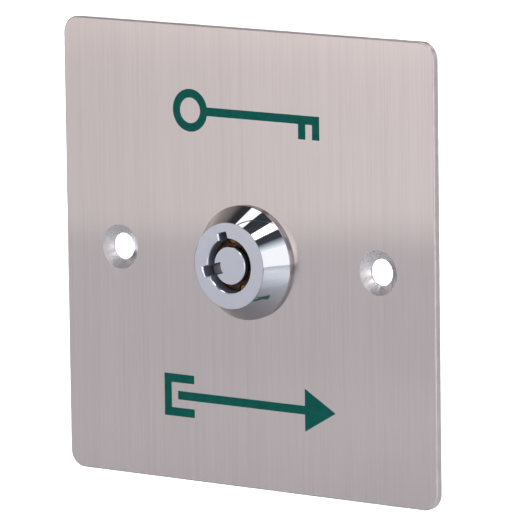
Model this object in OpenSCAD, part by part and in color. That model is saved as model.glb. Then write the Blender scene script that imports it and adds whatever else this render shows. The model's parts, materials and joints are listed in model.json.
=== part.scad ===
// Key switch on a square metal wall plate: a tubular pin lock turns a cam, and the cam works a
// miniature snap switch on a bracket behind the plate.
//
// Every module is drawn as seen from the front: X to the right, Y up, Z out of the wall towards
// the user, with Z = 0 on the back of the plate. in_row() then stands that drawing upright, so
// that the plate faces -Y and +Z is up. in_lock() also shifts it with the lock.

/* [Face plate] */
// Width and height of the plate
plate_side = 86; // [80:1:90]
// Thickness of the plate
plate_thick = 1.5; // [1.3:0.1:2]
// Radius of the plate's corners
corner_r = 3.2; // [2:0.1:5]
// Distance between the two fixing holes
hole_spacing = 60.3; // [58:0.1:62]
// Diameter of a fixing hole
screw_hole_d = 5; // [4:0.1:5.5]
// Diameter of its countersink at the front
countersink_d = 8.4; // [8:0.1:9.5]
// Depth of the countersink
countersink_depth = 1.1; // [0.8:0.05:1.1]

/* [Printed marks] */
// Height of each printed mark
mark_h = 8; // [6:0.5:9]
// Distance from the plate's centre to the middle of a mark
mark_offset = 27; // [24:0.5:32]
// Length of the key sign above the lock
key_mark_w = 34; // [28:1:50]
// Length of the way-out sign below the lock
exit_mark_w = 40; // [30:1:60]
// Width of the printed strokes
stroke = 1.6; // [1.2:0.1:2]
// Thickness of the ink
ink_thick = 0.06; // [0.04:0.01:0.1]

/* [Lock head] */
// Turn of the keyway from the flats on the barrel, anticlockwise from the front
keyway_turn = 15; // [0:1:30]
// How far the lock hangs below the middle of its round hole
lock_drop = 0.5; // [0:0.05:0.5]
// How far the lock sits to the left of the middle of its round hole
lock_aside = 0.25; // [0:0.05:0.3]
// Height of the head above the plate
head_h = 5.3; // [5:0.1:6.5]
// Diameter of the head where it meets the plate
head_d = 21.4; // [21:0.1:23]
// Height of the straight band at the foot of the cone
band_h = 0.7; // [0.6:0.1:1.5]
// Diameter of the flat front face
face_d = 16.2; // [15:0.1:17]
// Diameter of the round keyway
keyway_d = 9.9; // [9.8:0.05:10]
// Diameter of the centre post
post_d = 7.3; // [7.1:0.05:7.3]
// Width of the key notches
notch_w = 1.8; // [1.5:0.1:1.9]

/* [Lock barrel] */
// Diameter over the thread
barrel_d = 18.8; // [18.6:0.1:19]
// Width across the two flats
flats = 16; // [15.8:0.1:17]
// Length of the barrel behind the plate
barrel_len = 17; // [17:0.5:20]
// Pitch of the thread
pitch = 1; // [0.8:0.1:1.25]
// Diameter of a tumbler pin
pin_d = 1.8; // [1.6:0.05:1.8]
// How far the pins spring forward when the key is drawn out
pin_forward = 0.4; // [0.3:0.05:0.6]
// How far the pins can be pressed past the depth at which the lock turns
pin_press = 1.6; // [1:0.1:2]

/* [Switch] */
// How far the cam pushes the plunger over a quarter turn
cam_lift = 0.75; // [0.6:0.05:0.75]
// Radius of the cam at rest
cam_r = 5; // [4.8:0.1:5.2]
// Width of the switch
switch_w = 19.8; // [19.6:0.1:20.4]
// Distance between the switch's fixing holes
switch_hole_spacing = 9.5; // [9.3:0.1:9.7]

/* [Hidden] */
$fn = 72;

gap = 0.05;        // running clearance, all round
eps = 0.5;         // how far a cutter runs past what it cuts
turn_range = 90;   // the lock turns a quarter turn, clockwise from the front

// Levels along the lock's axis, from the front to the back
plate_front = plate_thick;
head_front = plate_front + head_h;
lip_thick = 2.4;
lip_back = head_front - lip_thick;
post_front = head_front - 0.2;
flange_front = head_front - 2.8;
flange_thick = 6.5;
shear_z = flange_front - flange_thick;
pin_front = lip_back - gap - pin_forward;
driver_len = 4;
spring_room = pin_press + 3.3;
pin_hole_end = shear_z - driver_len - spring_room - 0.1;
bushing_back = pin_hole_end - 2.5;
shoulder_z = bushing_back - 0.2;
stop_washer_thick = 1.2;
barrel_back = -barrel_len;
bracket_thick = 1;
bracket_back = barrel_back - bracket_thick;
switch_thick = 6.4;
cover_thick = 1.2;
switch_mid = bracket_back - switch_thick / 2;
case_back = bracket_back - switch_thick + cover_thick;
switch_back = bracket_back - switch_thick;
cam_thick = 2.8;
cam_front = switch_mid + cam_thick / 2;
cam_back = cam_front - cam_thick;
cam_washer_thick = 0.6;
cam_nut_thick = 2.2;
cam_nut_front = cam_back - cam_washer_thick;
stud_end = cam_nut_front - cam_nut_thick - 0.6;

// Lock, across its axis
head_edge = 0.12;
barrel_r = barrel_d / 2;
thread_root_r = barrel_r - 0.6 * pitch;
bore_r = 6.25;
notch_r = 6.2;
flange_r = bore_r - gap;
slot_inner_r = 2.3;
pin_circle_r = 4.65;
pin_hole_r = pin_d / 2 + gap;
blank_angle = 180 + keyway_turn;    // no pin here: the notch where the key goes in
removal_angle = 90 + keyway_turn;   // the notch where the key comes out after its quarter turn
hole_angles = [for (i = [0:7]) keyway_turn + 45 * i];
pin_angles = [for (a = hole_angles) if (a != blank_angle) a];
shaft_r = 3;
tail_r = 2.5;
tail_flats = 4.1;
stud_r = 2;
stop_angle = 270;      // middle of the stop lug's travel
stop_lug_half = 12;
stop_lug_r = 7.2;
stop_pocket_r = 7.35;
stop_play = 0.8;       // degrees left at each end of the pocket
case_pin_r = 0.8;
case_pin_z = bushing_back + 1.2;
bracket_screw_x = 7.6;
bracket_screw_depth = 3.6;

// Fixings on the barrel
tooth_washer_thick = 0.8;
tooth_washer_r = 12.3;
tooth_count = 16;
panel_nut_flats = 22;
panel_nut_thick = 3;
barrel_hole_r = barrel_r + 0.6;

// Snap switch: its top faces the cam, and its terminals leave at the bottom
switch_top = -7.4;
switch_h = 10.2;
switch_bottom = switch_top - switch_h;
wall = 1;
switch_hole_y = switch_bottom + 2.9;
switch_hole_r = 1.15;
boss_r = 1.6;
plunger_r = 0.9;
plunger_nib_r = 0.5;
plunger_tip = -(cam_r + gap);
plunger_foot = -10.05;
collar_r = 1.5;
collar_y = -8.5;
collar_thick = 0.5;
strip = 0.4;             // thickness of the terminal strips
strip_w = 3.2;           // their width along the lock's axis
blade_y = -10.3;
blade_thick = 0.25;
blade_pivot_x = -7.6;
blade_end_x = 7.7;
eye_r = 0.6;             // the blade's rolled end, and the ears beside it
blade_pin_r = 0.3;
ear_thick = 0.3;
ear_out = strip_w / 2 + gap + ear_thick;
contact_x = 7;
contact_r = 0.7;
rivet_shank_r = 0.35;
common_x = -8.5;
open_x = 0.4;
closed_x = 8.1;
open_strip_y = -13;
closed_strip_y = -9.15;
contact_strip = 0.35;    // thickness of the two strips that carry fixed contacts
open_contact_thick = 0.35;
closed_contact_thick = 0.6;
tab_len = 6.4;
tab_hole_r = 0.8;
m2_r = 0.98;
m2_head_r = 1.8;
m2_head_h = 1.3;
m2_nut_flats = 4;
m2_nut_h = 1.6;

module in_row() {
    rotate([90, 0, 0]) children();
}

module in_lock() {
    in_row() translate([-lock_aside, -lock_drop, 0]) children();
}

// A plain rod from one level to a lower one
module rod(r, front, back) {
    translate([0, 0, back]) cylinder(r = r, h = front - back);
}

// A box given by its lowest and highest corners
module block(low, high) {
    translate(low) cube(high - low);
}

// A hexagonal prism with the given width across its flats
module hex_rod(across, front, back) {
    translate([0, 0, back]) cylinder(r = across / 2 / cos(30), h = front - back, $fn = 6);
}

// A nut with both ends of its corners turned off
module hex_nut(across, hole_r, front, back, chamfer) {
    corner = across / 2 / cos(30) + 0.01;
    difference() {
        intersection() {
            hex_rod(across, front, back);
            rotate_extrude() polygon([
                [0, back], [corner - 2 * chamfer, back], [corner, back + chamfer],
                [corner, front - chamfer], [corner - 2 * chamfer, front], [0, front]
            ]);
        }
        rod(hole_r, front + eps, back - eps);
    }
}

// A round bar with two flats, as on the spindle's tail, swollen by grow
module double_d(front, back, grow = 0) {
    intersection() {
        rod(tail_r + grow, front, back);
        block([-tail_r - eps, -tail_flats / 2 - grow, back], [tail_r + eps, tail_flats / 2 + grow, front]);
    }
}

// A sector of a ring between two radii, centred on an angle
module ring_sector(r0, r1, front, back, middle, half) {
    rotate([0, 0, middle - half]) rotate_extrude(angle = 2 * half)
        translate([r0, back]) square([r1 - r0, front - back]);
}

module on_pin_circle(angles) {
    for (a = angles) rotate([0, 0, a]) translate([pin_circle_r, 0, 0]) children();
}

module at_switch_holes() {
    for (side = [-1, 1]) translate([side * switch_hole_spacing / 2, switch_hole_y, 0]) children();
}

module at_bracket_screws() {
    for (side = [-1, 1]) translate([side * bracket_screw_x, 0, 0]) children();
}

// ---- Plate ----

module rounded_square(side, r) {
    straight = side - 2 * r;
    square([side, straight], center = true);
    square([straight, side], center = true);
    for (x = [-1, 1], y = [-1, 1]) translate([x * straight / 2, y * straight / 2]) circle(r = r);
}

module face_plate() {
    color([0.77, 0.73, 0.72]) in_row() difference() {
        linear_extrude(plate_thick) rounded_square(plate_side, corner_r);
        rod(barrel_hole_r, plate_front + eps, -eps);
        for (side = [-1, 1]) translate([side * hole_spacing / 2, 0, 0]) {
            rod(screw_hole_d / 2, plate_front + eps, -eps);
            translate([0, 0, plate_front - countersink_depth])
                cylinder(r1 = screw_hole_d / 2, r2 = countersink_d / 2, h = countersink_depth + 0.001);
        }
    }
}

// A key lying on its side: a ring for its bow, a stem, and two bits
module key_sign() {
    bow_r = mark_h / 2;
    bow_x = -key_mark_w / 2 + bow_r;
    stem_end = key_mark_w / 2;
    bit_len = 3.6;
    color([0, 0.34, 0.28]) in_row() translate([0, mark_offset, plate_front]) linear_extrude(ink_thick) {
        difference() {
            union() {
                translate([bow_x, 0]) circle(r = bow_r);
                translate([bow_x, -stroke / 2]) square([stem_end - bow_x, stroke]);
            }
            translate([bow_x, 0]) circle(r = bow_r - stroke);
        }
        for (i = [0, 1]) translate([stem_end - stroke - 2 * i * stroke, -bit_len]) square([stroke, bit_len]);
    }
}

// A doorway open on its right, with an arrow leaving through it
module way_out_sign() {
    left = -exit_mark_w / 2;
    door_w = 7;
    head_len = 7;
    tip = exit_mark_w / 2;
    color([0, 0.34, 0.28]) in_row() translate([0, -mark_offset, plate_front]) linear_extrude(ink_thick) {
        difference() {
            translate([left, -mark_h / 2]) square([door_w, mark_h]);
            translate([left + stroke, -mark_h / 2 + stroke]) square([door_w, mark_h - 2 * stroke]);
        }
        translate([left + 2 * stroke, -stroke / 2]) square([exit_mark_w - 2 * stroke - head_len, stroke]);
        polygon([[tip, 0], [tip - head_len, mark_h / 2], [tip - head_len, -mark_h / 2]]);
    }
}

// ---- Lock, fixed parts ----

// Outline of one turn of thread, from its crest down to the next
function thread_turn(z) = [
    [barrel_r, z], [barrel_r, z - pitch / 8],
    [thread_root_r, z - pitch * 7 / 16], [thread_root_r, z - pitch * 11 / 16]
];

module case_outline() {
    turns = floor((barrel_len - 1) / pitch);
    thread = [for (i = [0:turns - 1]) each thread_turn(-i * pitch)];
    polygon(concat(
        [
            [keyway_d / 2 + head_edge, head_front], [face_d / 2 - head_edge, head_front],
            [face_d / 2, head_front - head_edge], [head_d / 2, plate_front + band_h],
            [head_d / 2, plate_front], [barrel_r, plate_front]
        ],
        thread,
        [
            [barrel_r, -turns * pitch], [barrel_r, barrel_back + 0.4], [barrel_r - 0.4, barrel_back],
            [bore_r, barrel_back], [bore_r, lip_back],
            [keyway_d / 2, lip_back], [keyway_d / 2, head_front - head_edge]
        ]
    ));
}

// Die-cast shell: cone head, threaded barrel with two flats, and a bore behind a thin front lip
module lock_case() {
    stop_half = turn_range / 2 + stop_lug_half + stop_play;
    color([0.8, 0.82, 0.86]) in_lock() difference() {
        rotate_extrude() case_outline();
        for (side = [-1, 1]) translate([0, side * (flats / 2 + barrel_r / 2), barrel_back - eps])
            translate([-barrel_r - eps, -barrel_r / 2, 0])
                cube([2 * barrel_r + 2 * eps, barrel_r, barrel_len + plate_front + eps]);
        for (a = [blank_angle, removal_angle]) rotate([0, 0, a])
            block([keyway_d / 2 - eps, -notch_w / 2, lip_back - eps],
                  [notch_r, notch_w / 2, head_front + eps]);
        ring_sector(bore_r - eps, stop_pocket_r, bushing_back, barrel_back - eps, stop_angle, stop_half);
        at_bracket_screws() rod(m2_r - 0.13, barrel_back + bracket_screw_depth + 0.4, barrel_back - eps);
        translate([0, flats / 2 + eps, case_pin_z]) rotate([90, 0, 0])
            cylinder(r = case_pin_r, h = flats / 2 + eps - bore_r + eps);
    }
}

// Star washer that bites into the back of the plate
module tooth_washer() {
    tooth_gap = 1.1;
    color([0.72, 0.72, 0.7]) in_lock() difference() {
        rod(tooth_washer_r, 0, -tooth_washer_thick);
        rod(barrel_r + gap, eps, -tooth_washer_thick - eps);
        for (i = [0:tooth_count - 1]) rotate([0, 0, i * 360 / tooth_count])
            block([tooth_washer_r - 1.3, -tooth_gap / 2, -tooth_washer_thick - eps],
                  [tooth_washer_r + eps, tooth_gap / 2, eps]);
    }
}

module panel_nut() {
    front = -tooth_washer_thick;
    color([0.78, 0.78, 0.76]) in_lock()
        hex_nut(panel_nut_flats, barrel_r + gap, front, front - panel_nut_thick, 0.5);
}

// Brass sleeve, pinned in the case, with a ring of blind holes. Seven hold a driver pin and its
// spring, and the eighth stays empty.
module pin_bushing() {
    color([0.78, 0.6, 0.3]) in_lock() difference() {
        rod(bore_r - 0.02, shear_z - gap, bushing_back);
        rod(shaft_r + gap, shear_z + eps, bushing_back - eps);
        on_pin_circle(hole_angles) rod(pin_hole_r, shear_z + eps, pin_hole_end);
        translate([0, bore_r + eps, case_pin_z]) rotate([90, 0, 0]) cylinder(r = case_pin_r, h = 2.2 + eps);
    }
}

// Dowel through the case's upper flat that stops the sleeve from turning
module case_pin() {
    inner = bore_r - 2.1;
    color([0.62, 0.62, 0.62]) in_lock()
        translate([0, flats / 2 - 0.1, case_pin_z]) rotate([90, 0, 0])
            cylinder(r = case_pin_r - 0.02, h = flats / 2 - 0.1 - inner);
}

// ---- Lock, moving parts ----

// Centre post, pin flange, shaft and tail, turned from one bar
module spindle() {
    post_r = post_d / 2;
    edge = 0.25;
    color([0.76, 0.78, 0.82]) in_lock() difference() {
        union() {
            rotate_extrude() polygon([
                [0, post_front], [post_r - edge, post_front], [post_r, post_front - edge],
                [post_r, flange_front], [flange_r, flange_front], [flange_r, shear_z],
                [shaft_r, shear_z], [shaft_r, shoulder_z], [0, shoulder_z]
            ]);
            double_d(shoulder_z + 0.1, cam_back + 0.2);
            rod(stud_r, cam_back + 0.3, stud_end);
        }
        rotate([0, 0, blank_angle])
            block([slot_inner_r, -notch_w / 2, flange_front], [post_r + eps, notch_w / 2, post_front + eps]);
        on_pin_circle(pin_angles) rod(pin_hole_r, flange_front + eps, shear_z - eps);
        on_pin_circle([blank_angle]) rod(pin_hole_r, shear_z + pin_forward + 0.2, shear_z - eps);
    }
}

// The seven pins that the key presses, here at the depth that the right key sets
module key_pins() {
    edge = 0.2;
    color([0.8, 0.62, 0.3]) in_lock() on_pin_circle(pin_angles) rotate_extrude() polygon([
        [0, shear_z], [pin_d / 2, shear_z], [pin_d / 2, pin_front - edge],
        [pin_d / 2 - edge, pin_front], [0, pin_front]
    ]);
}

module driver_pins() {
    front = shear_z - gap;
    color([0.8, 0.62, 0.3]) in_lock() on_pin_circle(pin_angles)
        rod(pin_d / 2, front, front - driver_len + gap);
}

// A coil of wire: rings of points round a helix, joined by triangles
module coil_spring(coil_r, wire_r, length, turns) {
    steps = 8;
    sides = 5;
    rings = steps * turns;
    rise = (length - 2 * wire_r) / rings;
    points = [for (i = [0:rings], j = [0:sides - 1])
        let (a = i * 360 / steps, b = j * 360 / sides, r = coil_r + wire_r * cos(b))
        [r * cos(a), r * sin(a), wire_r + i * rise + wire_r * sin(b)]];
    skin = [for (i = [0:rings - 1], j = [0:sides - 1])
        let (a = i * sides + j, b = i * sides + (j + 1) % sides)
        each [[a, b, b + sides], [a, b + sides, a + sides]]];
    ends = [for (j = [1:sides - 2])
        each [[0, j + 1, j], [rings * sides, rings * sides + j, rings * sides + j + 1]]];
    polyhedron(points, concat(skin, ends), convexity = 4);
}

module pin_springs() {
    color([0.7, 0.7, 0.72]) in_lock() on_pin_circle(pin_angles) translate([0, 0, pin_hole_end + 0.03])
        coil_spring(0.62, 0.13, spring_room, 4);
}

// Washer on the tail whose lug meets the ends of the pocket after a quarter turn
module stop_washer() {
    color([0.7, 0.7, 0.7]) in_lock() difference() {
        union() {
            rod(bore_r - 0.45, shoulder_z, shoulder_z - stop_washer_thick);
            ring_sector(4, stop_lug_r, shoulder_z, shoulder_z - stop_washer_thick,
                        stop_angle + turn_range / 2, stop_lug_half);
        }
        double_d(shoulder_z + eps, shoulder_z - stop_washer_thick - eps, 0.03);
    }
}

// Radius of the cam at an angle: it climbs evenly over the quarter turn, holds, and falls back
function cam_radius(a) =
    a <= 270 ? cam_r
    : a <= 360 ? cam_r + cam_lift * (a - 270) / turn_range
    : a <= 390 ? cam_r + cam_lift
    : cam_r + cam_lift * (1 - (a - 390) / 60);

module switch_cam() {
    hub_r = 4.2;
    hub_front = shoulder_z - stop_washer_thick;
    outline = [for (a = [90:3:447]) cam_radius(a) * [cos(a), sin(a)]];
    color([0.7, 0.7, 0.68]) in_lock() difference() {
        union() {
            rod(hub_r, hub_front, cam_front - 0.1);
            translate([0, 0, cam_back]) linear_extrude(cam_thick) polygon(outline);
        }
        double_d(hub_front + eps, cam_back - eps, 0.03);
    }
}

// Split spring washer under the cam's nut
module cam_washer() {
    color([0.6, 0.6, 0.6]) in_lock() difference() {
        rod(3.6, cam_back, cam_back - cam_washer_thick);
        rod(stud_r + gap, cam_back + eps, cam_back - cam_washer_thick - eps);
        rotate([0, 0, 20]) block([1, -0.25, cam_back - cam_washer_thick - eps], [5, 0.25, cam_back + eps]);
    }
}

module cam_nut() {
    color([0.78, 0.78, 0.76]) in_lock()
        hex_nut(7, stud_r + 0.02, cam_nut_front, cam_nut_front - cam_nut_thick, 0.35);
}

// ---- Bracket and snap switch ----

module bracket_shape() {
    disc_r = 10.5;
    tongue_w = switch_w + 1;
    tongue_r = 2;
    tongue_bottom = switch_bottom - 0.8;
    circle(r = disc_r);
    translate([-tongue_w / 2, tongue_bottom + tongue_r]) square([tongue_w, -tongue_bottom - tongue_r - 2]);
    translate([-tongue_w / 2 + tongue_r, tongue_bottom]) square([tongue_w - 2 * tongue_r, tongue_r + 1]);
    for (side = [-1, 1])
        translate([side * (tongue_w / 2 - tongue_r), tongue_bottom + tongue_r]) circle(r = tongue_r);
}

module rear_bracket() {
    color([0.74, 0.74, 0.74]) in_lock() difference() {
        translate([0, 0, bracket_back]) linear_extrude(bracket_thick) bracket_shape();
        rod(5, barrel_back + eps, bracket_back - eps);
        at_bracket_screws() rod(1.1, barrel_back + eps, bracket_back - eps);
        at_switch_holes() rod(switch_hole_r, barrel_back + eps, bracket_back - eps);
    }
}

// Pan-head screw with a cross recess; its head's underside is at the level given
module pan_screw(shank_r, under_head, tip) {
    head_back = under_head - m2_head_h;
    difference() {
        union() {
            rotate_extrude() polygon([
                [0, under_head], [m2_head_r, under_head], [m2_head_r, under_head - 0.7],
                [m2_head_r - 0.5, head_back], [0, head_back]
            ]);
            rod(shank_r, tip, under_head - 0.1);
        }
        for (a = [0, 90]) rotate([0, 0, a])
            block([-1, -0.2, head_back - eps], [1, 0.2, head_back + 0.7]);
    }
}

module bracket_screws() {
    color([0.75, 0.75, 0.75]) in_lock() at_bracket_screws()
        pan_screw(m2_r - 0.15, bracket_back, barrel_back + bracket_screw_depth);
}

module switch_screws() {
    color([0.75, 0.75, 0.75]) in_lock() at_switch_holes()
        pan_screw(m2_r, switch_back, barrel_back + m2_nut_h + 0.4);
}

module switch_nuts() {
    color([0.78, 0.78, 0.76]) in_lock() at_switch_holes()
        hex_nut(m2_nut_flats, m2_r + 0.02, barrel_back + m2_nut_h, barrel_back, 0.2);
}

// Moulded box, open at the back, with bosses round its fixing holes and slots for the terminals
module switch_case() {
    half = switch_w / 2;
    color([0.1, 0.1, 0.11]) in_lock() difference() {
        union() {
            difference() {
                block([-half, switch_bottom, case_back], [half, switch_top, bracket_back]);
                block([-half + wall, switch_bottom + wall, case_back - eps],
                      [half - wall, switch_top - wall, bracket_back - wall]);
            }
            at_switch_holes() rod(boss_r, bracket_back - wall / 2, case_back);
        }
        at_switch_holes() rod(switch_hole_r, bracket_back + eps, case_back - eps);
        translate([0, switch_top + eps, switch_mid]) rotate([90, 0, 0])
            cylinder(r = plunger_r + gap, h = wall + 2 * eps);
        for (x = [common_x, open_x, closed_x])
            block([x, switch_bottom - eps, switch_mid - strip_w / 2],
                  [x + strip, switch_bottom + wall + eps, switch_mid + strip_w / 2]);
    }
}

module switch_cover() {
    half = switch_w / 2;
    color([0.14, 0.14, 0.15]) in_lock() difference() {
        block([-half, switch_bottom, switch_back], [half, switch_top, case_back]);
        at_switch_holes() rod(switch_hole_r, case_back + eps, switch_back - eps);
    }
}

// Push rod with a round tip on the cam, a collar that keeps it in the case, and a nib on the blade
module switch_plunger() {
    centre = plunger_tip - plunger_r;
    collar_foot = collar_y - collar_thick;
    color([0.75, 0.1, 0.08]) in_lock() translate([0, 0, switch_mid]) {
        translate([0, centre, 0]) sphere(r = plunger_r);
        translate([0, centre, 0]) rotate([90, 0, 0]) cylinder(r = plunger_r, h = centre - collar_y);
        translate([0, collar_y, 0]) rotate([90, 0, 0]) cylinder(r = collar_r, h = collar_thick);
        translate([0, collar_foot, 0]) rotate([90, 0, 0])
            cylinder(r = plunger_nib_r, h = collar_foot - plunger_foot);
    }
}

// Strip with an eye rolled into one end and a hole for the rivet in the other
module contact_blade() {
    half_w = strip_w / 2;
    color([0.82, 0.58, 0.34]) in_lock() translate([0, 0, switch_mid]) difference() {
        union() {
            block([blade_pivot_x + eye_r - 0.1, blade_y - blade_thick / 2, -half_w],
                  [blade_end_x, blade_y + blade_thick / 2, half_w]);
            translate([blade_pivot_x, blade_y, 0]) rod(eye_r, half_w, -half_w);
        }
        translate([blade_pivot_x, blade_y, 0]) rod(blade_pin_r + gap, half_w + eps, -half_w - eps);
        translate([contact_x, blade_y + 1, 0]) rotate([90, 0, 0]) cylinder(r = rivet_shank_r + 0.02, h = 2);
    }
}

// Pin that the blade's eye turns on, held in the two ears of the common terminal
module blade_pin() {
    color([0.7, 0.7, 0.72]) in_lock() translate([blade_pivot_x, blade_y, 0])
        rod(blade_pin_r, switch_mid + ear_out, switch_mid - ear_out);
}

// Silver rivet through the blade's free end, with a head on each side
module blade_contact() {
    reach = 0.45;
    head = reach - blade_thick / 2;
    color([0.88, 0.88, 0.86]) in_lock() translate([contact_x, blade_y, switch_mid]) rotate([90, 0, 0]) {
        translate([0, 0, -reach]) cylinder(r = contact_r, h = head);
        translate([0, 0, reach - head]) cylinder(r = contact_r, h = head);
        translate([0, 0, -reach + head / 2]) cylinder(r = rivet_shank_r, h = 2 * reach - head);
    }
}

// Bowed strip between the common terminal and the blade, which makes the blade snap over
module snap_spring() {
    bow_r = 1.9;
    thick = 0.15;
    half_w = 0.8;
    centre = [-3.1, -11.25];
    color([0.72, 0.72, 0.74]) in_lock() translate([centre[0], centre[1], switch_mid]) {
        rotate([0, 0, 180]) rotate_extrude(angle = 180)
            translate([bow_r - thick / 2, -half_w]) square([thick, 2 * half_w]);
        block([bow_r - thick / 2, -0.01, -half_w], [bow_r + thick / 2, 0.75, half_w]);
    }
}

// Upright strip through the case's floor that ends in a drilled solder tab
module tab_strip(x, top) {
    half_w = strip_w / 2;
    tip = switch_bottom - tab_len;
    difference() {
        union() {
            block([x, tip + half_w, switch_mid - half_w], [x + strip, top, switch_mid + half_w]);
            translate([x, tip + half_w, switch_mid]) rotate([0, 90, 0]) cylinder(r = half_w, h = strip);
        }
        translate([x - eps, tip + half_w, switch_mid]) rotate([0, 90, 0])
            cylinder(r = tab_hole_r, h = strip + 2 * eps);
    }
}

// Upright ear with a hole for the blade's pin, from the level of its foot
module pin_ear(foot) {
    difference() {
        union() {
            translate([0, blade_y, 0]) cylinder(r = eye_r, h = ear_thick);
            block([-eye_r, foot, 0], [eye_r, blade_y, ear_thick]);
        }
        translate([0, blade_y, -eps]) cylinder(r = blade_pin_r + 0.02, h = ear_thick + 2 * eps);
    }
}

module common_terminal() {
    seat = blade_y - eye_r - gap;
    arm_y = -12.35;
    arm_end = -5.1;
    color([0.82, 0.68, 0.36]) in_lock() {
        tab_strip(common_x, seat);
        block([common_x, seat - strip, switch_mid - ear_out],
              [blade_pivot_x + eye_r, seat, switch_mid + ear_out]);
        for (level = [switch_mid - ear_out, switch_mid + ear_out - ear_thick])
            translate([blade_pivot_x, 0, level]) pin_ear(seat - strip / 2);
        block([common_x, arm_y, switch_mid - 0.8], [arm_end, arm_y + strip, switch_mid + 0.8]);
        block([arm_end - strip, arm_y, switch_mid - 0.8], [arm_end, -11.1, switch_mid + 0.8]);
    }
}

module open_terminal() {
    half_w = strip_w / 2;
    color([0.82, 0.68, 0.36]) in_lock() {
        tab_strip(open_x, open_strip_y + contact_strip);
        block([open_x, open_strip_y, switch_mid - half_w],
              [contact_x + 0.9, open_strip_y + contact_strip, switch_mid + half_w]);
    }
}

module closed_terminal() {
    half_w = strip_w / 2;
    color([0.82, 0.68, 0.36]) in_lock() {
        tab_strip(closed_x, closed_strip_y + contact_strip);
        block([contact_x - 0.8, closed_strip_y, switch_mid - half_w],
              [closed_x + strip, closed_strip_y + contact_strip, switch_mid + half_w]);
    }
}

// Silver heads on the open and the closed terminal
module fixed_contacts() {
    open_top = open_strip_y + contact_strip + open_contact_thick;
    color([0.88, 0.88, 0.86]) in_lock() translate([contact_x, 0, switch_mid]) {
        translate([0, closed_strip_y, 0]) rotate([90, 0, 0])
            cylinder(r = contact_r, h = closed_contact_thick);
        translate([0, open_top, 0]) rotate([90, 0, 0])
            cylinder(r = contact_r, h = open_contact_thick);
    }
}

face_plate();
key_sign();
way_out_sign();
lock_case();
tooth_washer();
panel_nut();
spindle();
key_pins();
driver_pins();
pin_springs();
pin_bushing();
case_pin();
stop_washer();
switch_cam();
cam_washer();
cam_nut();
rear_bracket();
bracket_screws();
switch_case();
switch_cover();
switch_plunger();
contact_blade();
blade_pin();
blade_contact();
snap_spring();
common_terminal();
open_terminal();
closed_terminal();
fixed_contacts();
switch_screws();
switch_nuts();
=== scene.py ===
"""Looks of the key switch: a satin steel wall plate with a chrome tubular lock and its snap switch.

Most pieces are drawn as seen from the front, in millimetres: x to the right, y up, z out of the
wall, with z = 0 on the back of the plate. place() then stands them upright in the frame, and moves
those of the lock to the lock's middle. The rest are copies of CAD nodes with their edges rounded.
"""

import json
import math
from itertools import pairwise

import bmesh
import bpy
from mathutils import Matrix, Vector


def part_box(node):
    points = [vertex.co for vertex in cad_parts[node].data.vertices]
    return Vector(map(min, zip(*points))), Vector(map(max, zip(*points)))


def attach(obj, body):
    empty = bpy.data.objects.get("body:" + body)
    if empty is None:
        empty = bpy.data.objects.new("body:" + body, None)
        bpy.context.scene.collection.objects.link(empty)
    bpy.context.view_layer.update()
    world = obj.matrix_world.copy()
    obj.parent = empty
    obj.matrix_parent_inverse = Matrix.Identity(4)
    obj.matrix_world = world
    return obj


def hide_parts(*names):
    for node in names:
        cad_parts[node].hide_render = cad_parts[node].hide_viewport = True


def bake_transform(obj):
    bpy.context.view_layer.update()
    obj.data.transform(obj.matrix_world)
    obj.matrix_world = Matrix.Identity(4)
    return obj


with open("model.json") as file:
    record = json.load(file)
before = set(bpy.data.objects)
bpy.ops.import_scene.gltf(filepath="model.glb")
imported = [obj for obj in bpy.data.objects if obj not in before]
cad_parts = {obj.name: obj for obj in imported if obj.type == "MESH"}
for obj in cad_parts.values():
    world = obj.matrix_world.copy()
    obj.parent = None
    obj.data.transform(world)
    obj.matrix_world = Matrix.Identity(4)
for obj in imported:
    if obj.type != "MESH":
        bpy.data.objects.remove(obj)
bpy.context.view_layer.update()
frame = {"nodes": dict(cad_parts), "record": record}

MM = 0.001
NODES = frame["nodes"]
TURN = math.radians(360)

# ---- Sizes in mm, from the frame and the record where they are there, and else as in the CAD ----


def view_box(node):
    """A node's lowest and highest x and y, and its back and front z, in the front view."""
    low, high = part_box(node)
    return {
        "left": low[0] / MM, "right": high[0] / MM, "bottom": low[2] / MM, "top": high[2] / MM,
        "back": -high[1] / MM, "front": -low[1] / MM,
    }


PLATE = view_box("face_plate")
LOCK = view_box("lock_case")
SPINDLE = view_box("spindle")
LOCK_MIDDLE = ((LOCK["left"] + LOCK["right"]) / 2, (LOCK["bottom"] + LOCK["top"]) / 2, 0)
SCREWS = next(m for m in frame["record"]["mounts"] if m["name"] == "plate_screws")["dims"]

CORNER_R = 3.2
COUNTERSINK_R = 4.2
LAND = 0.4  # the straight part of a screw hole, behind its countersink
BARREL_HOLE_R = 10
PLATE_EDGE = 0.28  # radius of the plate's front edge
PLATE_BREAK = 0.12  # size of the chamfer on its back edge

HEAD_R = (LOCK["right"] - LOCK["left"]) / 2
HEAD_FRONT = LOCK["front"]
BARREL_BACK = LOCK["back"]
FACE_R = 8.1
FACE_EDGE = 0.12
BAND = 0.7  # height of the straight band under the cone
LIP_BACK = HEAD_FRONT - 2.4
KEYWAY_R = 4.95
KEYWAY_BEVEL = (0.19, 0.32)  # width and depth
NOTCH_R = 6.2
NOTCH_HALF = 0.9
KEYWAY_TURN = math.radians(15)
KEY_IN = math.radians(180) + KEYWAY_TURN
KEY_OUT = math.radians(90) + KEYWAY_TURN
BORE_R = 6.25
BARREL_R = 9.4
BARREL_CHAMFER = 0.4
PITCH = 1.0
THREAD_DEPTH = 0.6
FLAT = 8.0  # distance of the barrel's two flats from its axis
POCKET_FRONT = -14.0
POCKET_R = 7.35
POCKET_MIDDLE = math.radians(270)
POCKET_HALF = math.radians(57.8)

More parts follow.
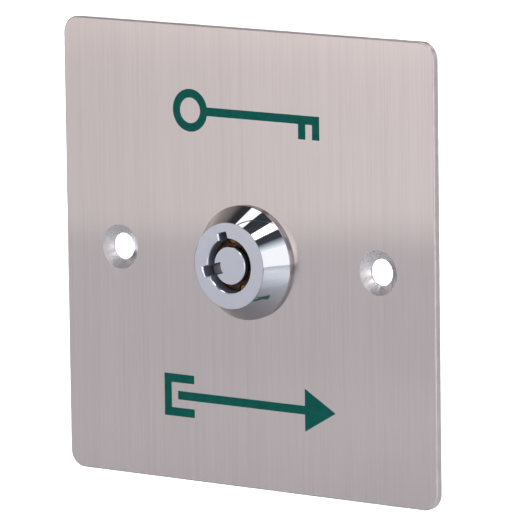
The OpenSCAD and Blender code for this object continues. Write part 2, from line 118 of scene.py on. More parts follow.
POST_R = 3.65
POST_FRONT = HEAD_FRONT - 0.2
POST_BEVEL = (0.16, 0.31)
SLOT_R = 2.3
SLOT_FLOOR_HALF = 0.85
SLOT_FLOOR_END = 5.9
FLANGE_R = 6.2
FLANGE_FRONT = HEAD_FRONT - 2.8
SHEAR = -2.5
SHAFT_R = 3.0
SHOULDER = -14.2
TAIL_R = 2.5
TAIL_FLAT = 2.05
CAM_BACK = view_box("switch_cam")["back"]
STUD_R = 2.0
STUD_BACK = SPINDLE["back"]
STUD_PITCH = 0.7
STUD_THREAD_DEPTH = 0.35
STUD_CHAMFER = 0.25
PIN_CIRCLE_R = 4.65
PIN_HOLE_R = 0.95
PIN_ANGLES = [math.radians(a) + KEYWAY_TURN for a in range(0, 360, 45) if a != 180]

# ---- Outlines, as lists of (x, y) that run anticlockwise ----


def circle(r, n=96, x=0.0, y=0.0):
    return [(x + r * math.cos(TURN * i / n), y + r * math.sin(TURN * i / n)) for i in range(n)]


def arc(r, start, end, n, x=0.0, y=0.0):
    steps = [start + (end - start) * i / n for i in range(n + 1)]
    return [(x + r * math.cos(a), y + r * math.sin(a)) for a in steps]


def rounded_square(side, r, n=14):
    c = side / 2 - r
    corners = ((c, c), (-c, c), (-c, -c), (c, -c))
    return [p for i, (x, y) in enumerate(corners)
            for p in arc(r, TURN * i / 4, TURN * (i + 1) / 4, n, x, y)]


def spun(points, angle):
    c, s = math.cos(angle), math.sin(angle)
    return [(x * c - y * s, x * s + y * c) for x, y in points]


def toothed_circle(r, reach, half, angles, n=120):
    """A circle with a straight-sided notch at each angle, going out (or in) to reach."""
    mouth = math.asin(half / r)
    end = math.asin(half / reach)
    points, angles = [], sorted(angles)
    for a, following in zip(angles, angles[1:] + [angles[0] + TURN]):
        points += arc(reach, a - end, a + end, 4)
        start, stop = a + mouth, following - mouth
        points += arc(r, start, stop, max(4, round(n * (stop - start) / TURN)))
    return points


def grown(outline, by):
    """The outline moved outwards by a small distance, or inwards if it is negative.

    A sharp corner moves by at most 2.5 times the distance.
    """
    if not by:
        return list(outline)
    moved, n = [], len(outline)
    for i in range(n):
        before, here, after = (Vector(outline[(i + k) % n]) for k in (-1, 0, 1))
        one, two = (here - before).normalized(), (after - here).normalized()
        out = Vector((one.y + two.y, -one.x - two.x)).normalized()
        moved.append(tuple(here + out * by / max(0.4, out.dot(Vector((one.y, -one.x))))))
    return moved


def round_edge(r, z, steps):
    """(growth, z) points of a quarter-round outer edge up to level z."""
    angles = [TURN / 4 * i / steps for i in range(steps + 1)]
    return [(-r * (1 - math.cos(a)), z - r * (1 - math.sin(a))) for a in angles]


def bevelled_edge(size, z, side):
    """(growth, z) points of a bevel with softened corners up to level z.

    size is the bevel's width and depth. side is 1 for the rim of a hole and -1 for an outer edge.
    """
    wide, foot = size[0], z - size[1]
    return [(0, foot - 0.03), (side * 0.012, foot + 0.02),
            (side * (wide - 0.02), z - 0.035), (side * (wide + 0.02), z)]


# ---- Meshes ----


def ring(bm, outline, z):
    return [bm.verts.new((x, y, z)) for x, y in outline]


def bridge(bm, one, two, finish=0):
    n = len(one)
    for i in range(n):
        j = (i + 1) % n
        face = bm.faces.new((one[i], one[j], two[j], two[i]))
        face.smooth = True
        face.material_index = finish


def join(bm, rings, finish=0):
    """Joins each ring to the next. Returns the first ring and the last."""
    for one, two in pairwise(rings):
        bridge(bm, one, two, finish)
    return rings[0], rings[-1]


def wall(bm, outline, profile, finish=0):
    """A wall along an outline, given as (growth, z) levels. Returns its first ring and its last."""
    return join(bm, [ring(bm, grown(outline, by), z) for by, z in profile], finish)


def lathe(bm, profile, n=96, finish=0):
    """Turns (r, z) points about the z axis. Returns the first ring and the last."""
    return join(bm, [ring(bm, circle(r, n), z) for r, z in profile], finish)


def threaded_rings(bm, levels, n, radius):
    """Rings of n points at the levels, as far from the axis as radius(angle, z) says."""
    angles = [TURN * i / n for i in range(n)]
    return [ring(bm, [(radius(a, z) * math.cos(a), radius(a, z) * math.sin(a)) for a in angles], z)
            for z in levels]


def cap(bm, *rings, finish=0):
    """Fills the flat region between rings at one level, with flat shading."""
    edges = [bm.edges.get((r[i - 1], r[i])) or bm.edges.new((r[i - 1], r[i]))
             for r in rings for i in range(len(r))]
    filled = bmesh.ops.triangle_fill(bm, use_beauty=True, use_dissolve=False, edges=edges)
    for face in filled["geom"]:
        if isinstance(face, bmesh.types.BMFace):
            face.material_index = finish


def place(in_lock):
    """Front view in mm to the frame in metres."""
    upright = Matrix(((1, 0, 0, 0), (0, 0, -1, 0), (0, 1, 0, 0), (0, 0, 0, 1)))
    return Matrix.Scale(MM, 4) @ upright @ Matrix.Translation(LOCK_MIDDLE if in_lock else (0, 0, 0))


def piece(name, bm, body, nodes, finishes, in_lock=True):
    """Makes an object of a front-view mesh, standing for the nodes. It follows its body when body is a
    name, and stays where it is otherwise.
    """
    bmesh.ops.remove_doubles(bm, verts=bm.verts, dist=1e-5)
    bmesh.ops.recalc_face_normals(bm, faces=bm.faces)
    bm.transform(place(in_lock))
    mesh = bpy.data.meshes.new(name)
    bm.to_mesh(mesh)
    bm.free()
    return dressed(mesh, body, nodes, finishes, sharp=32)


def dressed(mesh, body, nodes, finishes, sharp):
    """Makes an object of a mesh, which is sharp where faces meet at more than that many degrees.
    """
    smooth = [f.use_smooth for f in mesh.polygons]
    mesh.set_sharp_from_angle(angle=math.radians(sharp))
    mesh.polygons.foreach_set("use_smooth", smooth)
    obj = bpy.data.objects.new(mesh.name, mesh)
    bpy.context.scene.collection.objects.link(obj)
    for finish in finishes:
        mesh.materials.append(finish)
    if isinstance(body, str):
        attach(obj, body)
    else:
        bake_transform(obj)
    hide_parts(*nodes)
    return obj


def softened(node, body, slot, finish, width):
    """A copy of a CAD node whose edges are rounded, standing for the node."""
    flat, curved, corner = (math.radians(a) for a in (0.5, 25, 40))
    bm = bmesh.new()
    bm.from_mesh(NODES[node].data)
    bmesh.ops.remove_doubles(bm, verts=bm.verts, dist=1e-7)
    bmesh.ops.dissolve_limit(bm, angle_limit=flat, verts=bm.verts, edges=bm.edges, delimit={"NORMAL"})
    bmesh.ops.recalc_face_normals(bm, faces=bm.faces)
    for f in bm.faces:
        f.smooth = any(flat < e.calc_face_angle(0) < curved for e in f.edges)
    edges = [e for e in bm.edges if len(e.link_faces) == 2 and e.calc_face_angle(0) > corner]
    rounding = bmesh.ops.bevel(bm, geom=edges, offset=width * MM, offset_type="OFFSET", segments=2,
                               profile=0.5, affect="EDGES", clamp_overlap=True)
    for f in rounding["faces"]:
        f.smooth = True
    bmesh.ops.triangulate(bm, faces=[f for f in bm.faces if len(f.verts) > 4])
    mesh = bpy.data.meshes.new(f"{node}_soft")
    bm.to_mesh(mesh)
    bm.free()
    dressed(mesh, body, [node], [finish], sharp=30)


# ---- Materials ----


class Nodes:
    """Short forms for building a material's node tree."""

    def __init__(self, name):
        self.material = bpy.data.materials.new(name)
        self.material.use_nodes = True
        self.tree = self.material.node_tree
        self.shader = self.tree.nodes["Principled BSDF"]

    def add(self, kind, settings=None, **inputs):
        node = self.tree.nodes.new(kind)
        for key, value in (settings or {}).items():
            setattr(node, key, value)
        for key, value in inputs.items():
            self.feed(node.inputs[key.replace("_", " ")], value)
        return node

    def feed(self, socket, value):
        """Links an output to a socket, or sets the socket's own value."""
        if isinstance(value, bpy.types.NodeSocket):
            self.tree.links.new(value, socket)
        else:
            socket.default_value = value

    def set(self, **inputs):
        """Feeds the shader's inputs."""
        for key, value in inputs.items():
            self.feed(self.shader.inputs[key.replace("_", " ")], value)

    def place_in(self, scale, tilt=0):
        """The object's own coordinates, tilted about the y axis and then given scale steps to the mm."""
        where = self.add("ShaderNodeTexCoord").outputs["Object"]
        if tilt:
            turned = self.add("ShaderNodeVectorRotate", {"rotation_type": "Y_AXIS"}, Vector=where,
                              Angle=math.radians(tilt))
            where = turned.outputs["Vector"]
        by = tuple(s / MM for s in scale)
        return self.add("ShaderNodeMapping", Vector=where, Scale=by).outputs["Vector"]

    def noise(self, scale, detail=4.0, roughness=0.5, distortion=0.0, tilt=0):
        return self.add("ShaderNodeTexNoise", Vector=self.place_in(scale, tilt), Scale=1.0, Detail=detail,
                        Roughness=roughness, Distortion=distortion).outputs["Fac"]

    def spread(self, value, low, high, to_low, to_high):
        """Takes values from low to high to the range from to_low to to_high, and stops at its ends."""
        node = self.add("ShaderNodeMapRange", Value=value)
        for key, number in zip(("From Min", "From Max", "To Min", "To Max"), (low, high, to_low, to_high)):
            node.inputs[key].default_value = number
        return node.outputs["Result"]

    def blend(self, factor, one, two):
        """Mixes two colours. The mix node's colour sockets have the numbers 6, 7 and 2."""
        node = self.add("ShaderNodeMix", {"data_type": "RGBA"})
        self.feed(node.inputs[0], factor)
        self.feed(node.inputs[6], (*one, 1) if isinstance(one, tuple) else one)
        self.feed(node.inputs[7], (*two, 1) if isinstance(two, tuple) else two)
        return node.outputs[2]

    def bump(self, height, distance, strength, normal=None):
        node = self.add("ShaderNodeBump", Height=height, Distance=distance * MM, Strength=strength)
        if normal:
            self.feed(node.inputs["Normal"], normal)
        return node.outputs["Normal"]


def hairline_steel():
    """Stainless sheet with an upright satin grain, smooth along the grain and rough across it."""
    m = Nodes("hairline_steel")
    fine = m.noise((14, 1, 0.10), 3, 0.6)
    long = m.noise((3.2, 1, 0.035), 4, 0.55)
    wide = m.noise((0.5, 1, 0.012), 3, 0.5)
    cloud = m.noise((0.05, 0.05, 0.05), 3, 0.5)
    grain = m.add("ShaderNodeMath", {"operation": "ADD"})
    m.feed(grain.inputs[0], m.spread(fine, 0.3, 0.7, 0, 0.6))
    m.feed(grain.inputs[1], m.spread(long, 0.3, 0.7, 0, 0.4))
    tone = m.blend(m.spread(grain.outputs[0], 0.1, 0.9, 0, 1), (0.57, 0.495, 0.49), (0.66, 0.575, 0.57))
    tone = m.blend(m.spread(wide, 0.35, 0.65, 0.0, 0.35), tone, (0.67, 0.585, 0.58))
    tone = m.blend(m.spread(cloud, 0.35, 0.65, 0.0, 0.12), tone, (0.56, 0.50, 0.51))
    m.set(Base_Color=tone, Metallic=1.0, Anisotropic=1.0,
          Roughness=m.spread(long, 0.25, 0.75, 0.07, 0.10),
          Normal=m.bump(grain.outputs[0], 0.0012, 0.5))
    m.feed(m.shader.inputs["Tangent"],
           m.add("ShaderNodeTangent", {"direction_type": "UV_MAP", "uv_map": "grain"}).outputs[0])
    return m.material


def plated(name, colour, roughness, wear=0.02, speck=0.25):
    """Bright plate over a casting: faint waves, fine hairs and a few dull specks."""
    m = Nodes(name)
    wave = m.noise((0.25, 0.25, 0.25), 2, 0.4)
    hair = m.noise((6, 6, 6), 4, 0.6)
    specks = m.spread(m.noise((2.6, 2.6, 2.6), 6, 0.7), 0.66, 0.72, 0, speck)
    m.set(Base_Color=m.blend(specks, colour, tuple(c * 0.55 for c in colour)), Metallic=1.0,
          Roughness=m.spread(hair, 0.3, 0.7, roughness, roughness + wear),
          Normal=m.bump(wave, 0.01, 0.15, m.bump(hair, 0.0006, 0.1)))
    return m.material


def turned_face(name, colour, roughness):
    """Satin plate over fine polishing marks that slant across the face."""
    m = Nodes(name)
    lines = m.noise((2.0, 2.0, 16.0), 3, 0.6, tilt=35)
    cloud = m.noise((0.4, 0.4, 0.4), 3, 0.5)
    m.set(Base_Color=m.blend(m.spread(lines, 0.3, 0.7, 0, 1), tuple(c * 0.93 for c in colour), colour),
          Metallic=1.0, Roughness=m.spread(cloud, 0.3, 0.7, roughness, roughness + 0.06),
          Normal=m.bump(lines, 0.0015, 0.25))
    return m.material


def turned_brass(name, colour, roughness):
    """Turned brass with fine rings and brown stains."""
    m = Nodes(name)
    rings = m.noise((1.2, 14, 1.2), 3, 0.6)
    stain = m.noise((0.5, 0.5, 0.5), 4, 0.6)
    m.set(Base_Color=m.blend(m.spread(stain, 0.35, 0.7, 0, 0.7), colour, (0.36, 0.20, 0.07)),
          Metallic=1.0, Roughness=m.spread(stain, 0.3, 0.7, roughness, roughness + 0.15),
          Normal=m.bump(rings, 0.004, 0.3))
    return m.material


def zinc(name, colour, roughness, metallic):
    """Scuffed, patchy metal with a faint yellow bloom."""
    m = Nodes(name)
    patch = m.noise((0.22, 0.22, 0.22), 5, 0.6, 0.6)
    grit = m.noise((4, 4, 4), 4, 0.6)
    r, g, b = colour
    tint = m.blend(m.spread(patch, 0.35, 0.65, 0, 1), colour, (r * 1.16, g * 1.12, b * 0.97))
    m.set(Base_Color=tint, Metallic=metallic,
          Roughness=m.spread(patch, 0.3, 0.7, roughness - 0.06, roughness + 0.1),
          Normal=m.bump(grit, 0.006, 0.25))
    return m.material


def worked_steel(name, colour, roughness, metallic):
    """Stainless steel as cut or rubbed smooth: satin, with fine scratches."""
    m = Nodes(name)
    hair = m.noise((5, 5, 5), 4, 0.6)
    cloud = m.noise((0.5, 0.5, 0.5), 3, 0.5)
    m.set(Base_Color=m.blend(m.spread(cloud, 0.3, 0.7, 0, 1), colour, tuple(c * 0.9 for c in colour)),
          Metallic=metallic, Roughness=m.spread(cloud, 0.3, 0.7, roughness, roughness + 0.08),
          Normal=m.bump(hair, 0.004, 0.3))
    return m.material


def drawn_wire(name, colour):
    """Drawn steel wire and strip with streaks."""
    m = Nodes(name)
    streak = m.noise((3, 3, 3), 4, 0.6)
    m.set(Base_Color=m.blend(m.spread(streak, 0.3, 0.7, 0, 1), colour, tuple(c * 1.3 for c in colour)),
          Metallic=1.0, Roughness=m.spread(streak, 0.3, 0.7, 0.22, 0.36),
          Normal=m.bump(streak, 0.003, 0.3))
    return m.material


def moulded(name, colour, roughness):
    """Moulded plastic with a fine spark-eroded skin."""
    m = Nodes(name)
    skin = m.noise((9, 9, 9), 3, 0.55)
    flow = m.noise((0.3, 0.3, 0.3), 3, 0.5)
    paler = tuple(c * 1.35 + 0.004 for c in colour)
    m.set(Base_Color=m.blend(m.spread(flow, 0.3, 0.7, 0, 1), colour, paler),
          Roughness=m.spread(flow, 0.3, 0.7, roughness, roughness + 0.12),
          Normal=m.bump(skin, 0.006, 0.35))
    return m.material


def ink():
    """Screen-printed ink: matt, with slightly uneven colour."""
    m = Nodes("green_ink")
    blotch = m.spread(m.noise((0.6, 0.6, 0.6), 4, 0.6), 0.35, 0.65, 0, 1)
    screen = m.noise((7, 7, 7), 3, 0.6)
    m.set(Base_Color=m.blend(blotch, (0.0, 0.105, 0.086), (0.003, 0.125, 0.104)),
          Roughness=m.spread(screen, 0.3, 0.7, 0.5, 0.65), Specular_IOR_Level=0.12,
          Normal=m.bump(screen, 0.004, 0.3))
    return m.material


STEEL = hairline_steel()
CUT_STEEL = worked_steel("cut_steel", (0.80, 0.75, 0.78), 0.24, 0.7)
EDGE_STEEL = worked_steel("edge_steel", (0.74, 0.65, 0.66), 0.28, 0.7)
CHROME = plated("chrome_plate", (0.595, 0.607, 0.652), 0.035)
CHROME_FACE = turned_face("chrome_face", (0.645, 0.645, 0.735), 0.16)
POST_STEEL = turned_face("post_face", (0.645, 0.645, 0.735), 0.18)
# Bare casting for the keyway's walls and the barrel's hidden faces. Its dark bluish slate is painted
# shade, as the walls sit in shadow inside the lip.
BARE_SHADE_ZINC = zinc("bare_casting_painted_shade", (0.17, 0.19, 0.26), 0.42, 0.4)
# The pin flange and its holes: dull steel in a brown so dark it is near black, which is painted shade for
# the flange deep behind the keyway's lip.
DULL_SHADE_STEEL = zinc("dull_steel_painted_shade", (0.12, 0.08, 0.05), 0.42, 0.7)
MILLED_STEEL = zinc("milled_steel", (0.36, 0.34, 0.39), 0.4, 0.5)
BRASS = turned_brass("pin_brass", (0.44, 0.23, 0.08), 0.36)
STRIP_BRASS = turned_brass("strip_brass", (0.74, 0.53, 0.24), 0.24)
NICKEL = plated("nickel_plate", (0.60, 0.585, 0.55), 0.2, 0.1, 0.1)
ZINC = zinc("zinc_plate", (0.56, 0.58, 0.61), 0.34, 1.0)
WIRE = drawn_wire("spring_wire", (0.42, 0.42, 0.43))
SILVER = plated("contact_silver", (0.78, 0.77, 0.74), 0.18, 0.1, 0.1)
BLACK = moulded("black_plastic", (0.014, 0.014, 0.016), 0.42)
COVER_BLACK = moulded("cover_plastic", (0.02, 0.02, 0.022), 0.36)
RED = moulded("red_plastic", (0.42, 0.02, 0.014), 0.3)
INK = ink()

# ---- Plate and signs ----


def make_plate():
    """The sheet, with its rim eased, its hole for the lock and its two countersunk holes."""
    bm = bmesh.new()
    satin, cut, rim = range(3)
    side = PLATE["right"] - PLATE["left"]
    front, back = PLATE["front"], PLATE["back"]
    edge = [(-PLATE_BREAK, back), (0, back + PLATE_BREAK)] + round_edge(PLATE_EDGE, front, steps=5)
    walls = [wall(bm, rounded_square(side, CORNER_R), edge, rim)]
    # The corners of the holes are softened by a few hundredths of a millimetre.
    cone, land_front = COUNTERSINK_R - SCREWS["hole_r_mm"], back + LAND
    levels = [(0.04, back), (0, back + 0.04), (0, land_front - 0.02), (0.03, land_front + 0.02),
              (cone - 0.05, front - 0.035), (cone - 0.02, front - 0.01), (cone + 0.03, front)]
    for way in (-1, 1):
        hole = circle(SCREWS["hole_r_mm"], 72, way * SCREWS["spacing_x_mm"] / 2)
        walls.append(wall(bm, hole, levels, cut))
    levels = [(0.05, back), (0, back + 0.05), (0, front - 0.05), (0.05, front)]
    walls.append(wall(bm, circle(BARREL_HOLE_R), levels, satin))
    for rings in zip(*walls):
        cap(bm, *rings, finish=satin)
    finishes = [STEEL, CUT_STEEL, EDGE_STEEL]
    plate = piece("steel_plate", bm, "housing", ["face_plate"], finishes, in_lock=False)
    grain = plate.data.uv_layers.new(name="grain")
    for loop in plate.data.loops:
        x, _, z = plate.data.vertices[loop.vertex_index].co
        grain.data[loop.index].uv = (x / (side * MM) + 0.5, z / (side * MM) + 0.5)


def dress_signs():
    """The signs keep their CAD meshes, and get the ink."""
    for node in ("key_sign", "way_out_sign"):
        NODES[node].data.materials.clear()
        NODES[node].data.materials.append(INK)


# ---- Lock ----


def thread_drop(turns):
    """How far the thread is below its crest, as a share of its depth, turns along the helix."""
    crest, flank, root = 1 / 8, 5 / 16, 1 / 4
    u = turns % 1
    if u < crest:
        return 0
    if u < crest + flank:
        return (u - crest) / flank
    if u < crest + flank + root:
        return 1
    return (1 - u) / flank


def barrel_radius(angle, z):
    """The barrel's radius: its thread behind the plate, the chamfer at its end and the two flats."""
    chamfer_top = BARREL_BACK + BARREL_CHAMFER
    r = BARREL_R
    if z < 0:
        r -= THREAD_DEPTH * thread_drop(-z / PITCH + angle / TURN)
    if z < chamfer_top:
        r = min(r, BARREL_R - (chamfer_top - z))
    return min(r, FLAT / max(abs(math.sin(angle)), 0.5))


def stud_radius(angle, z):
    if z == STUD_BACK:
        return STUD_R - STUD_CHAMFER
    return STUD_R - STUD_THREAD_DEPTH * thread_drop(-z / STUD_PITCH + angle / TURN)


def make_lock_case():
    """Cone head with the keyway through its lip, and a threaded barrel with two flats."""
    bm = bmesh.new()
    columns, rows_per_turn = 180, 10
    # The last finish is the bare casting, painted dark bluish slate as shade.
    bright, satin, bare_painted_shade = range(3)
    keyway = toothed_circle(KEYWAY_R, NOTCH_R, NOTCH_HALF, [KEY_IN, KEY_OUT])
    bevel = bevelled_edge(KEYWAY_BEVEL, HEAD_FRONT, 1)
    keyway_back, _ = wall(bm, keyway, [(0, LIP_BACK), bevel[0]], bare_painted_shade)
    _, keyway_front = wall(bm, keyway, bevel, bright)
    plate_front = PLATE["front"]
    cone_foot = plate_front + BAND
    face_edge = [(FACE_R - FACE_EDGE, HEAD_FRONT), (FACE_R - 0.035, HEAD_FRONT - 0.035),
                 (FACE_R, HEAD_FRONT - FACE_EDGE)]
    cone_edge = [(HEAD_R - 0.05, cone_foot + 0.1), (HEAD_R - 0.005, cone_foot),
                 (HEAD_R, cone_foot - 0.08)]
    band_edge = [(HEAD_R, plate_front + 0.08), (HEAD_R - 0.08, plate_front)]
    head = face_edge + cone_edge + band_edge + [(BARREL_R, plate_front)]
    face_rim, neck = lathe(bm, head, columns)
    cap(bm, keyway_front, face_rim, finish=satin)
    rows = range(round(-BARREL_BACK / PITCH * rows_per_turn) + 1)
    levels = [-PITCH * i / rows_per_turn for i in rows]
    _, barrel_back = join(bm, [neck] + threaded_rings(bm, levels, columns, barrel_radius))
    # The pocket in the barrel's end, in which the stop washer's lug swings
    start, stop = POCKET_MIDDLE - POCKET_HALF, POCKET_MIDDLE + POCKET_HALF
    pocket = arc(POCKET_R, start, stop, 40) + arc(BORE_R + 0.05, stop, start + TURN, 60)
    pocket_back, pocket_front = wall(bm, pocket, [(0, BARREL_BACK), (0, POCKET_FRONT)], bare_painted_shade)
    cap(bm, barrel_back, pocket_back, finish=bare_painted_shade)
    bore_back, bore_front = lathe(bm, [(BORE_R, POCKET_FRONT), (BORE_R, LIP_BACK)], finish=bare_painted_shade)
    cap(bm, pocket_front, bore_back, finish=bare_painted_shade)
    cap(bm, bore_front, keyway_back, finish=bare_painted_shade)
    piece("chrome_case", bm, "housing", ["lock_case"], [CHROME, CHROME_FACE, BARE_SHADE_ZINC])


def make_spindle():
    """Slotted centre post, pin flange, shaft, flatted tail and stud."""
    bm = bmesh.new()
    # The dull finish of the flange is painted near black as shade.
    satin, bright, dull, milled, passivated = range(5)
    ease = 0.1
    post = toothed_circle(POST_R, SLOT_R, NOTCH_HALF, [KEY_IN], 96)
    bevel = bevelled_edge(POST_BEVEL, POST_FRONT, -1)
    post_back, _ = wall(bm, post, [(0, FLANGE_FRONT), bevel[0]], bright)
    _, post_front = wall(bm, post, bevel, bright)
    cap(bm, post_front, finish=satin)
    flange_front, flange_back = lathe(bm, [
        (FLANGE_R - ease, FLANGE_FRONT), (FLANGE_R, FLANGE_FRONT - ease),
        (FLANGE_R, SHEAR + ease), (FLANGE_R - ease, SHEAR)], finish=dull)
    shaft_front, shaft_back = lathe(bm, [
        (SHAFT_R, SHEAR), (SHAFT_R, SHOULDER + ease), (SHAFT_R - ease, SHOULDER)], finish=passivated)
    cap(bm, shaft_back, finish=passivated)
    # The slot's floor has its own finish, and stays just clear of the post.
    start, stop, half = -SLOT_FLOOR_END, -SLOT_R - 0.06, SLOT_FLOOR_HALF
    slot_floor = [(start, -half), (stop, -half), (stop, half), (start, half)]
    floor_edge = ring(bm, spun(slot_floor, KEYWAY_TURN), FLANGE_FRONT)
    fronts, backs = [flange_front, post_back, floor_edge], [flange_back, shaft_front]
    for a in PIN_ANGLES:
        x, y = PIN_CIRCLE_R * math.cos(a), PIN_CIRCLE_R * math.sin(a)
        high, low = wall(bm, circle(PIN_HOLE_R, 28, x, y), [(0, FLANGE_FRONT), (0, SHEAR)], dull)
        fronts.append(high)
        backs.append(low)
    cap(bm, *fronts, finish=dull)
    cap(bm, *backs, finish=dull)
    cap(bm, floor_edge, finish=milled)
    # The tail starts inside the shaft, and the stud inside the tail.
    reach = TURN / 4 - math.acos(TAIL_FLAT / TAIL_R)
    tail = [p for middle in (0, TURN / 2) for p in arc(TAIL_R, middle - reach, middle + reach, 12)]
    levels = [(0, SHOULDER + 0.05), (0, CAM_BACK + ease), (-ease, CAM_BACK)]
    for end in wall(bm, tail, levels, passivated):
        cap(bm, end, finish=passivated)
    columns, row = 48, STUD_PITCH / 8
    rows = range(int((CAM_BACK - STUD_BACK) / row))
    levels = [CAM_BACK + 0.2 - row * i for i in rows] + [STUD_BACK]
    for end in join(bm, threaded_rings(bm, levels, columns, stud_radius), passivated):
        cap(bm, end, finish=passivated)
    finishes = [POST_STEEL, CHROME, DULL_SHADE_STEEL, MILLED_STEEL, ZINC]
    piece("lock_spindle", bm, "rotor", ["spindle"], finishes)


# ---- Inside and behind: the CAD shapes with their edges rounded, and the pin springs ----

# Node, body, slot, finish, and how wide its edges are rounded
SOFT = [
    ("tooth_washer", "housing", "zinc", ZINC, 0.06),
    ("panel_nut", "housing", "nickel", NICKEL, 0.12),
    ("key_pins", "key_pins", "brass", BRASS, 0.08),
    ("driver_pins", "driver_pins", "brass", BRASS, 0.12),
    ("pin_bushing", "housing", "brass", BRASS, 0.1),
    ("case_pin", "housing", "spring_steel", WIRE, 0.08),
    ("stop_washer", "rotor", "zinc", ZINC, 0.1),
    ("switch_cam", "rotor", "zinc", ZINC, 0.15),
    ("cam_washer", "rotor", "spring_steel", WIRE, 0.08),
    ("cam_nut", "rotor", "nickel", NICKEL, 0.1),
    ("rear_bracket", "housing", "zinc", ZINC, 0.15),
    ("bracket_screws", "housing", "zinc", ZINC, 0.06),
    ("switch_case", "housing", "black_plastic", BLACK, 0.2),
    ("switch_cover", "housing", "black_plastic", COVER_BLACK, 0.2),
    ("switch_plunger", "plunger", "red_plastic", RED, 0.06),
    ("contact_blade", "blade", "contact_brass", STRIP_BRASS, 0.04),
    ("blade_pin", "housing", "spring_steel", WIRE, 0.05),
    ("blade_contact", "blade", "silver", SILVER, 0.05),
    ("common_terminal", "housing", "contact_brass", STRIP_BRASS, 0.05),
    ("open_terminal", "housing", "contact_brass", STRIP_BRASS, 0.05),
    ("closed_terminal", "housing", "contact_brass", STRIP_BRASS, 0.05),
    ("fixed_contacts", "housing", "silver", SILVER, 0.05),
    ("switch_screws", "housing", "zinc", ZINC, 0.06),
    ("switch_nuts", "housing", "nickel", NICKEL, 0.08),
]


def make_snap_spring():
    """The bow, between the terminal at its left-hand end and the blade at its right-hand end. It is not
    attached to either, and does not move with the blade.
    """
    box = view_box("snap_spring")
    between = ("housing", "blade", (box["left"] * MM, 0, 0), (box["right"] * MM, 0, 0))
    softened("snap_spring", between, "spring_steel", WIRE, 0.02)


def make_springs():
    """Seven wire coils with closed ends, as one mesh. It is not attached to a body, and does not shorten
    as the pins are pushed in.
    """
    box = view_box("pin_springs")
    bm = bmesh.new()
    wire, coil, turns, steps, sides = 0.13, 0.62, 7, 20, 8
    # The first turn and the last rise by the wire's thickness, and the rest share what is left.
    open_length = box["front"] - box["back"] - 6 * wire
    section = circle(wire, sides)
    for a in PIN_ANGLES:
        x0, y0 = PIN_CIRCLE_R * math.cos(a), PIN_CIRCLE_R * math.sin(a)
        rings = []
        for i in range(turns * steps + 1):
            t = i / steps
            closed = min(t, 1) + max(t - turns + 1, 0)
            free = min(max(t - 1, 0), turns - 2) / (turns - 2)
            z = box["back"] + wire + 2 * wire * closed + open_length * free
            c, s = math.cos(TURN * t), math.sin(TURN * t)
            rings.append([bm.verts.new((x0 + (coil + out) * c, y0 + (coil + out) * s, z + up))
                          for out, up in section])
        join(bm, rings)
        bm.faces.new(rings[0])
        bm.faces.new(rings[-1])
    between = ("housing", "driver_pins", (0, -box["back"] * MM, 0), (0, -box["front"] * MM, 0))
    piece("coil_springs", bm, between, ["pin_springs"], [WIRE])


# ---- Stage: floor, lights and camera ----


FLOOR_Z = -0.30
SKY = (0.78, 0.88, 1.0, 1)
SKY_STRENGTH = 0.08
CAMERA_AT = (0.72965, -0.94137, 0.18126)
CAMERA_TURN = (81.312, 0.759, 37.573)
LENS = 446.1
# The plate mirrors the front card: the jump near its foot is the step in brightness across the plate.
FRONT_FADE = [(0, 0.15), (0.045, 0.19), (0.075, 0.65), (0.15, 0.75), (0.27, 0.58), (0.42, 0.44),
              (0.65, 0.30), (0.78, 0.15), (0.9, 0.04), (1, 0)]


def fade_lamp(light, fade):
    """Gives a lamp the brightness that fade lists, as (place, brightness) from its foot to its head."""
    light.use_nodes = True
    tree = light.node_tree
    across = tree.nodes.new("ShaderNodeNewGeometry").outputs["Parametric"]
    split = tree.nodes.new("ShaderNodeSeparateXYZ")
    level = tree.nodes.new("ShaderNodeValToRGB")
    stops = level.color_ramp.elements
    stops.remove(stops[1])
    stops[0].position = fade[0][0]
    for where, _ in fade[1:]:
        stops.new(where)
    for stop, (_, bright) in zip(stops, fade):
        stop.color = (bright, bright, bright, 1)
    tree.links.new(across, split.inputs[0])
    tree.links.new(split.outputs["Y"], level.inputs["Fac"])
    tree.links.new(level.outputs["Color"], tree.nodes["Emission"].inputs["Color"])


def lamp(name, at, size, radiance, toward=(0, 0, 0), colour=(1, 1, 1), spread=180, fade=None, roll=0):
    """A flat soft box that faces a point. It shows in reflections and not in the picture."""
    light = bpy.data.lights.new(name, "AREA")
    light.shape = "RECTANGLE"
    light.size, light.size_y = size
    light.energy = radiance * math.pi * size[0] * size[1]
    light.color = colour
    light.spread = math.radians(spread)
    if fade:
        fade_lamp(light, fade)
    obj = bpy.data.objects.new(name, light)
    bpy.context.scene.collection.objects.link(obj)
    obj.location = at
    aim = (Vector(toward) - Vector(at)).to_track_quat("-Z", "Y").to_matrix()
    obj.rotation_euler = (aim @ Matrix.Rotation(math.radians(roll), 3, "Z")).to_euler()
    obj.visible_camera = False


def beside_lock(name, rise, y, size, radiance, **looks):
    """A lamp that faces the lock's axis, rise degrees up from its right-hand side."""
    a, away = math.radians(rise), 0.8
    at = (away * math.cos(a), y, away * math.sin(a))
    lamp(name, at, size, radiance, toward=(0, y, 0), **looks)


def make_floor():
    bm = bmesh.new()
    bmesh.ops.create_grid(bm, x_segments=40, y_segments=40, size=6)
    mesh = bpy.data.meshes.new("floor")
    bm.to_mesh(mesh)
    bm.free()
    floor = bpy.data.objects.new("floor", mesh)
    bpy.context.scene.collection.objects.link(floor)
    floor.location.z = FLOOR_Z
    m = Nodes("pale_floor")
    tone = m.spread(m.noise((0.004, 0.004, 0.004), 4, 0.5), 0.3, 0.7, 0, 1)
    m.set(Base_Color=m.blend(tone, (0.68, 0.70, 0.72), (0.70, 0.72, 0.74)), Roughness=0.9)
    mesh.materials.append(m.material)


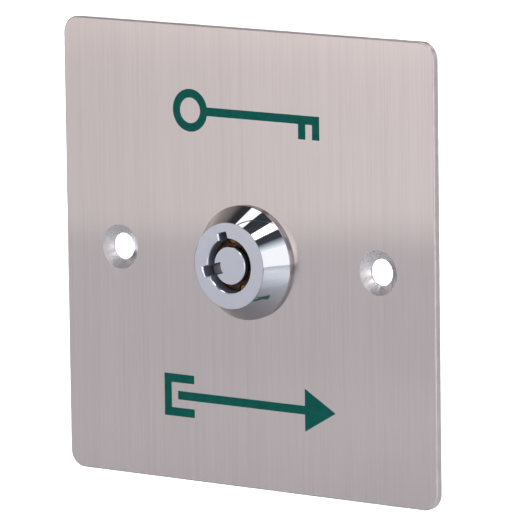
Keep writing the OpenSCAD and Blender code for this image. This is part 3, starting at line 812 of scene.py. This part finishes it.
def make_lights():
    world = bpy.data.worlds.new("studio")
    world.use_nodes = True
    background = world.node_tree.nodes["Background"]
    background.inputs["Color"].default_value = SKY
    background.inputs["Strength"].default_value = SKY_STRENGTH
    bpy.context.scene.world = world
    # The bright bands round the lock's cone, from its right-hand side to its top
    beside_lock("right_card", 12, -0.17, (0.66, 0.46), 1.47, colour=(1, 0.985, 0.965))
    beside_lock("right_card_top", 36, -0.17, (0.66, 0.225), 1.5, colour=(0.9, 0.95, 1.0),
                fade=[(0, 1), (1, 0)])
    beside_lock("top_strip", 64.6, -0.14, (0.7, 0.213), 3.0)
    beside_lock("overhead_strip", 105, -0.05, (0.5, 0.25), 3.0)
    # What the plate and the lock's face mirror
    lamp("front_card", (-0.68, -0.73, 0.513), (1.3, 1.3), 1.0, toward=(0, 0, 0.513),
         colour=(1, 0.95, 0.84), roll=-4, fade=FRONT_FADE)
    lamp("front_glow", (-0.73, -1.43, 0.045), (0.556, 0.78), 0.8, roll=-90, fade=[(0, 0), (1, 1)])
    lamp("front_wall", (1.0, -2.2, 1.1), (3.2, 2.8), 0.5, toward=(1.0, 0, 1.1))
    # Light on the plate's back, and on the floor behind it, which is the picture's background
    lamp("back_wall", (-1.9, 2.45, 0.35), (1.8, 1.0), 1.0)
    lamp("back_pool", (-1.4, 1.85, 0.7), (3.0, 2.9), 1.95, toward=(-1.4, 1.85, 0), spread=60)
    lamp("back_right_pool", (1.7, 2.2, 0.7), (2.4, 3.0), 0.5, toward=(1.7, 2.2, 0), spread=60)
    lamp("back_right_card", (1.3, 1.7, 0.52), (1.9, 1.2), 0.65)
    lamp("back_top", (0.1, 1.6, 1.2), (1.1, 0.9), 0.9)
    # Highlights on edges and bevels
    lamp("side_card", (0.78, -0.606, 0), (0.3, 0.5), 2.0)
    lamp("top_front", (0.5, -0.5, 0.62), (0.34, 0.24), 2.4)
    lamp("bevel_strip", (0.18, -0.42, 0.855), (0.36, 0.16), 2.4)
    # Light on the floor in front and at the right, which the cone mirrors
    lamp("left_pool", (-1.45, -1.85, 0.9), (1.4, 2.6), 0.92, toward=(-1.45, -1.85, 0), spread=80, roll=-38)
    lamp("right_pool", (2.6, -0.25, 0.9), (3.2, 0.7), 1.8, toward=(2.6, -0.25, 0), spread=80)
    lamp("near_pool", (0.95, -0.25, 0.45), (1.0, 0.6), 1.05, toward=(0.95, -0.25, 0), spread=80)


def make_camera():
    data = bpy.data.cameras.new("camera")
    data.sensor_width = 36
    data.lens = LENS
    data.clip_end = 50
    camera = bpy.data.objects.new("camera", data)
    bpy.context.scene.collection.objects.link(camera)
    camera.location = CAMERA_AT
    camera.rotation_euler = [math.radians(a) for a in CAMERA_TURN]
    bpy.context.scene.camera = camera


make_plate()
dress_signs()
make_lock_case()
make_spindle()
for row in SOFT:
    softened(*row)
make_snap_spring()
make_springs()
make_floor()
make_lights()
make_camera()
bpy.context.scene.view_settings.view_transform = "Standard"
